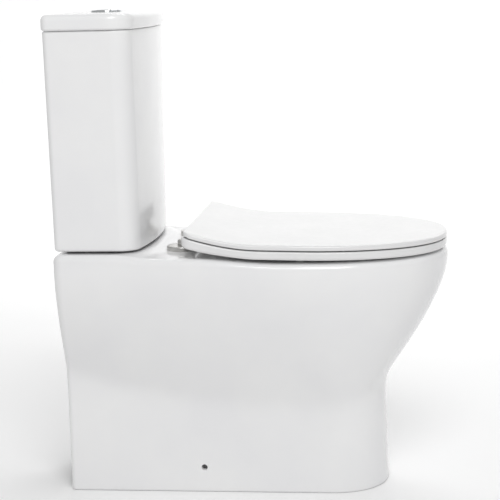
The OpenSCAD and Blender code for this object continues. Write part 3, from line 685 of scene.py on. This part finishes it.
def button(name, body, side, part):
    """One part of the button pair: a dished cap, its skirt and the rod below."""
    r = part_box("full_flush_button")[1].x

    def line(d):
        return part_disc(r - d, part + side * d, side)
    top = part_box(name)[1].z
    centre = line(0)[:, 0].mean()
    rings = [at(line(0.0016), top - 0.0030), at(line(0.0016), top - 0.0145), at(line(0), top - 0.0145)]
    rings += [at(line(0), top - 0.0030)] + corner(line, 0, 0.0010, level(top - 0.0010), 0, 90)
    dish = 0.0007
    rings += [at(line(d), top - dish * ease((d - 0.001) / 0.0035)) for d in (0.0015, 0.0022, 0.003, 0.0038, 0.0045)]
    cap = loft(name + "_cap", rings, [(centre, BOLT_Y, top - 0.0030), (centre, BOLT_Y, top - dish)], 30)
    low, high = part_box(name)[0].z, top - 0.0025
    end = 0.0008
    rod = [(1e-6, low), (0.0025 - end, low), (0.0025, low + end), (0.0025, high), (1e-6, high)]
    rod = revolve(name + "_rod", rod, (side * ROD_X, BOLT_Y, 0), sides=32)
    for piece in (cap, rod):
        dress(piece, body, "chrome_trim", CHROME, name)


cistern()
cistern_cover()
bezel()
button("half_flush_button", "half_button", -1, -0.0053)
button("full_flush_button", "full_button", 1, -0.0047)


# ---------------------------------------------------------------- seat
def lid_z(y):
    """Top of the seat cover: nearly level, then sweeping up to the hinge line."""
    u = BACK - y
    c = np.clip((0.338 - u) / 0.130, 0, 1)
    return (0.434 - 0.003 * np.clip((u - 0.430) / 0.200, 0, 1) + 0.027 * c ** 2 * (1 - 0.18 * c)
            + 0.005 * np.clip((0.430 - u) / 0.230, 0, 1))


def ring_top(y):
    return lid_z(y) - LID_T - GAP


def ring_low(y):
    return ring_top(y) - RING_T - 0.003 * ease((0.300 - BACK + y) / 0.090)


def seat_line(d, rear):
    return egg(0.184 - d, 0.182 - d, rear + d, 0.395, DEPTH - 0.002 - d, max(0.014 - d, 0.005), 2.25)


def seat_hole(d):
    return egg(0.112 + d, 0.092 + d, 0.268 - d, 0.410, 0.566 + d, 0.070 + d, 2.1)


def offset(heights, dz):
    return lambda y: heights(y) + dz


def over(outline, heights, dz=0.0):
    return at(outline, heights(outline[:, 1]) + dz)


def seat_ring():
    """The ring: a flat moulding with soft edges, a sloping underside and a pocket round each hinge."""
    def line(d):
        return seat_line(d, RING_U)
    rings = corner(line, 0, 0.005, offset(ring_low, 0.005), -90, 0, 8)
    rings += [over(line(0), ring_low, 0.008)]
    rings += corner(line, 0, 0.0028, offset(ring_top, -0.0028), 0, 90, 6)
    outer, inner = line(0.004), seat_hole(0.0125)
    rings += [over(mix(outer, inner, t), ring_top) for t in np.linspace(0, 1, 10)]
    rings += corner(seat_hole, 0, 0.0095, offset(ring_top, -0.0095), 84, 10, 8)
    rings += corner(seat_hole, 0, 0.0035, offset(ring_low, 0.0035), 0, -90, 6)
    rings += [over(mix(seat_hole(0.005), line(0.006), t), ring_low) for t in np.linspace(0, 1, 9)]
    piece = loft("seat_ring_moulding", rings)
    tools = []
    for side in (-1, 1):
        x = side * HINGE_X
        tools.append(notch(x))
        tools.append(post_shape("t", PIN_HOLE_R, -0.046, 0.046, (x, HINGE_Y, HINGE_Z), "x"))
    cut(piece, *tools)
    dress(piece, "ring", "seat_resin", SEAT, "seat_ring")


def notch(x):
    """The pocket in the ring round a hinge, with rounded inner corners."""
    half, low, high, r = 0.030, HINGE_Y - 0.024, HINGE_Y + 0.040, 0.005
    outline = [(half, high)] + [(half - r + r * math.cos(a), low + r - r * math.sin(a))
                                for a in np.radians(np.linspace(0, 90, 7))]
    outline += [(-px, py) for px, py in reversed(outline)]
    n = len(outline)
    points = [(x + px, py, z) for z in (0.400, 0.480) for px, py in outline]
    faces = [tuple(range(n)), tuple(range(2 * n - 1, n - 1, -1))]
    faces += [(i, i + n, (i + 1) % n + n, (i + 1) % n) for i in range(n)]
    piece = solid("t", points, faces)
    straight(piece)
    return piece


def seat_cover():
    """The cover: a thin plate, hollowed a little underneath, with two ears at each hinge."""
    def line(d):
        return seat_line(d, COVER_U)
    mid = np.array([0.0, BACK - 0.400])
    hollow = 0.0015

    def under(y):
        return lid_z(y) - LID_T
    rings = [over(mix(mid, line(0.022), t), under, hollow) for t in np.linspace(0.12, 1, 10)]
    rings += [over(line(d), under, hollow * (1 - ease((0.022 - d) / 0.005)))
              for d in (0.0205, 0.019, 0.0175, 0.016)]
    rings += [over(line(0.008), under)] + corner(line, 0, 0.0025, offset(under, 0.0025), -90, 0, 6)
    rings += corner(line, 0, 0.0035, offset(lid_z, -0.0035), 0, 90, 8)
    rings += [over(mix(mid, line(0.006), t), lid_z) for t in np.linspace(1, 0.12, 14)]
    ends = [(0, mid[1], float(under(mid[1])) + hollow), (0, mid[1], float(lid_z(mid[1])))]
    piece = loft("seat_cover_moulding", rings, ends)
    # the hollow in which the ring's rear edge turns
    cut(piece, post_shape("t", KNUCKLE_R, -0.19, 0.19, (0, HINGE_Y, HINGE_Z), "x", 96))
    dress(piece, "seat_lid", "seat_resin", SEAT, "seat_cover")
    for side in (-1, 1):
        for step in (-0.0165, 0.0165):
            lug(side * HINGE_X + step)


def lug(x):
    """An ear under the cover that turns on the hinge pin."""
    a = np.radians(np.linspace(180, 360, 25))

    def ear(d, along):
        r = LUG_R - d
        outline = [(r * math.cos(t), r * math.sin(t)) for t in a]
        outline += [(0.0026 - d, 0.006), (0.0026 - d, 0.013), (-r, 0.013)]
        return np.array([(x + along, HINGE_Y + y, HINGE_Z + z) for y, z in outline])
    rings = [ear(0.0008, -0.005), ear(0.0002, -0.0047), ear(0, -0.0042), ear(0, 0.0042), ear(0.0002, 0.0047),
             ear(0.0008, 0.005)]
    piece = loft("cover_lug", rings, [(x - 0.005, HINGE_Y, HINGE_Z), (x + 0.005, HINGE_Y, HINGE_Z)])
    straight(piece)
    cut(piece, post_shape("t", PIN_HOLE_R, -0.02, 0.02, (x, HINGE_Y, HINGE_Z), "x"))
    dress(piece, "seat_lid", "seat_resin", SEAT, "seat_cover")


def buffer_foot(x, u, low, high, body, node):
    """A soft foot with a rounded lower edge."""
    e, r = min(0.0015, (high - low) / 2), BUFFER_R
    outline = [(1e-6, low), (r - e, low), (r - 0.3 * e, low + 0.3 * e), (r, low + e), (r, high), (1e-6, high)]
    foot = revolve(node + "_foot", outline, (x, BACK - u, 0), sides=40)
    dress(foot, body, "seat_buffer", BUFFER_WHITE, node)


def buffers():
    """Soft feet under the ring and under the cover, each set a little way into what carries it."""
    sunk = 0.001
    for side in (-1, 1):
        for u, x in ((0.402, 0.150), (0.500, 0.138)):
            buffer_foot(side * x, u, RIM_Z, float(ring_low(BACK - u)) + sunk, "ring", "ring_buffers")
        u, x = 0.480, 0.138
        low, high = float(ring_top(BACK - u)), float(lid_z(BACK - u)) - LID_T + sunk
        buffer_foot(side * x, u, low, high, "seat_lid", "cover_buffers")


# ---------------------------------------------------------------- hinges
def hinges():
    """Round stainless cover plates on the deck, each with a shank, a neck and a barrel for the pin."""
    a = np.radians(np.linspace(0, 90, 7))
    plate = [(0.0072, 0.0), (0.0253, 0.0), (0.0255, 0.0004)]
    plate += [(0.0235 + 0.0020 * math.cos(t), 0.0055 + 0.0020 * math.sin(t)) for t in a]
    plate += [(0.0160, 0.0079), (0.0100, 0.0080), (0.0072, 0.0080)]
    shank = [(1e-6, 0.001), (0.0071, 0.001), (0.0071, 0.012), (1e-6, 0.012)]
    barrel = [(PIN_R, -0.0098), (0.0042, -0.0100), (0.0063, -0.0100), (0.0070, -0.0093), (0.0070, 0.0093),
              (0.0063, 0.0100), (0.0042, 0.0100), (PIN_R, 0.0098)]
    for side in (-1, 1):
        x = side * HINGE_X
        made = revolve("hinge_plate", plate, (x, STUD_Y, DECK_Z), sides=128)
        dress(made, FIXED, "satin_steel", SATIN, "hinge_discs")
        made = revolve("hinge_shank", shank, (x, STUD_Y, DECK_Z))
        dress(made, FIXED, "satin_steel", SATIN, "hinge_posts")
        made = revolve("hinge_barrel", barrel, (x, HINGE_Y, HINGE_Z), "x")
        dress(made, FIXED, "satin_steel", SATIN, "hinge_posts")
        neck(x)


def neck(x):
    """The cast arm from a hinge's shank forward and up to its barrel."""
    rear, low, high = STUD_Y + 0.0065, DECK_Z + 0.009, DECK_Z + 0.0175
    side_view = [(rear, low), (rear, high - 0.001), (rear - 0.002, high), (HINGE_Y + 0.0065, high),
                 (HINGE_Y + 0.0055, high + 0.0015), (HINGE_Y + 0.0055, HINGE_Z - 0.002),
                 (HINGE_Y, HINGE_Z - 0.001), (HINGE_Y - 0.003, HINGE_Z - 0.006), (HINGE_Y - 0.002, low + 0.002),
                 (HINGE_Y, low)]
    middle = np.array([STUD_Y - 0.004, DECK_Z + 0.013])
    outline = np.array(side_view)
    half = 0.006
    rings = []
    for inset, along in ((0.10, -half), (0.03, -0.0056), (0.0, -0.0050), (0.0, 0.0050), (0.03, 0.0056), (0.10, half)):
        pulled = mix(outline, middle, inset)
        rings.append(np.column_stack([np.full(len(pulled), x + along), pulled]))
    piece = loft("hinge_neck", rings, [(x - half, *middle), (x + half, *middle)])
    straight(piece)
    dress(piece, FIXED, "satin_steel", SATIN, "hinge_posts")


seat_ring()
seat_cover()
buffers()
hinges()


# ---------------------------------------------------------------- fittings kept as they come from the frame
FITTINGS = {
    BRASS: ("coupling_bolts", "coupling_wing_nuts"),
    WIRE: ("half_button_spring", "full_button_spring"),
    SATIN: ("hinge_pins", "hinge_studs", "fill_valve_pin"),
    VALVE_WHITE: ("flush_valve_body", "fill_valve_body", "fill_valve_arm", "hinge_stud_nuts"),
    VALVE_BLUE: ("flush_valve_tube", "fill_valve_float"),
    NUT_GREY: ("bezel_nut", "flush_valve_nut", "fill_valve_nut"),
    SEAL_RED: ("flush_valve_seal",),
    SEAL_BLACK: ("flush_valve_gasket", "fill_valve_washer", "coupling_seal", "coupling_bolt_washers",
                 "cistern_pads", "hinge_stud_cones"),
}
for finish, names in FITTINGS.items():
    for name in names:
        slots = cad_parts[name].data.materials
        for i in range(len(slots)):
            slots[i] = finish


# ---------------------------------------------------------------- floor and light
def studio():
    """A plain pale floor."""
    made, tree, shader, place = finish_of("pale_matt_floor", "#F8F8F8")
    two_tone(tree, shader, grain(tree, place, 900, 2), "#F7F7F7", "#F9F9F9")
    gloss_range(tree, shader, grain(tree, place, 60, 3), 0.85, 0.95)
    # a level floor that turns up into a backdrop well behind the object
    bend, far, high = 2.0, 3.0, 6.0
    profile = [(-8.0, 0.0), (-4.0, 0.0), (0.0, 0.0)]
    profile += [(far + bend * math.sin(a), bend - bend * math.cos(a)) for a in np.radians(np.linspace(0, 90, 25))]
    profile += [(far + bend, high)]
    points = [(x, y, z) for x, z in profile for y in (-9.0, 9.0)]
    faces = [(2 * i, 2 * i + 2, 2 * i + 3, 2 * i + 1) for i in range(len(profile) - 1)]
    floor = solid("pale_floor", points, faces)
    floor.data.materials.append(made)


def lamp(name, at_m, towards, size, watts):
    """A round softbox, aimed at a point."""
    data = bpy.data.lights.new(name, "AREA")
    data.shape = "DISK"
    data.size = size
    data.energy = watts
    lamp_object = bpy.data.objects.new(name, data)
    lamp_object.location = at_m
    lamp_object.rotation_euler = (Vector(towards) - Vector(at_m)).to_track_quat("-Z", "Y").to_euler()
    bpy.context.scene.collection.objects.link(lamp_object)


studio()
lamp("key_softbox", (-2.9, -0.6, 3.1), (0.0, 0.0, 0.4), 2.0, 76)
lamp("backdrop_wash", (2.0, -0.3, 3.6), (5.0, 0.0, 0.6), 2.0, 100)
bpy.context.scene.view_settings.view_transform = "Standard"

world = bpy.data.worlds.new("soft_studio")
world.use_nodes = True
world.node_tree.nodes["Background"].inputs["Color"].default_value = (1, 1, 1, 1)
world.node_tree.nodes["Background"].inputs["Strength"].default_value = 0.45
bpy.context.scene.world = world
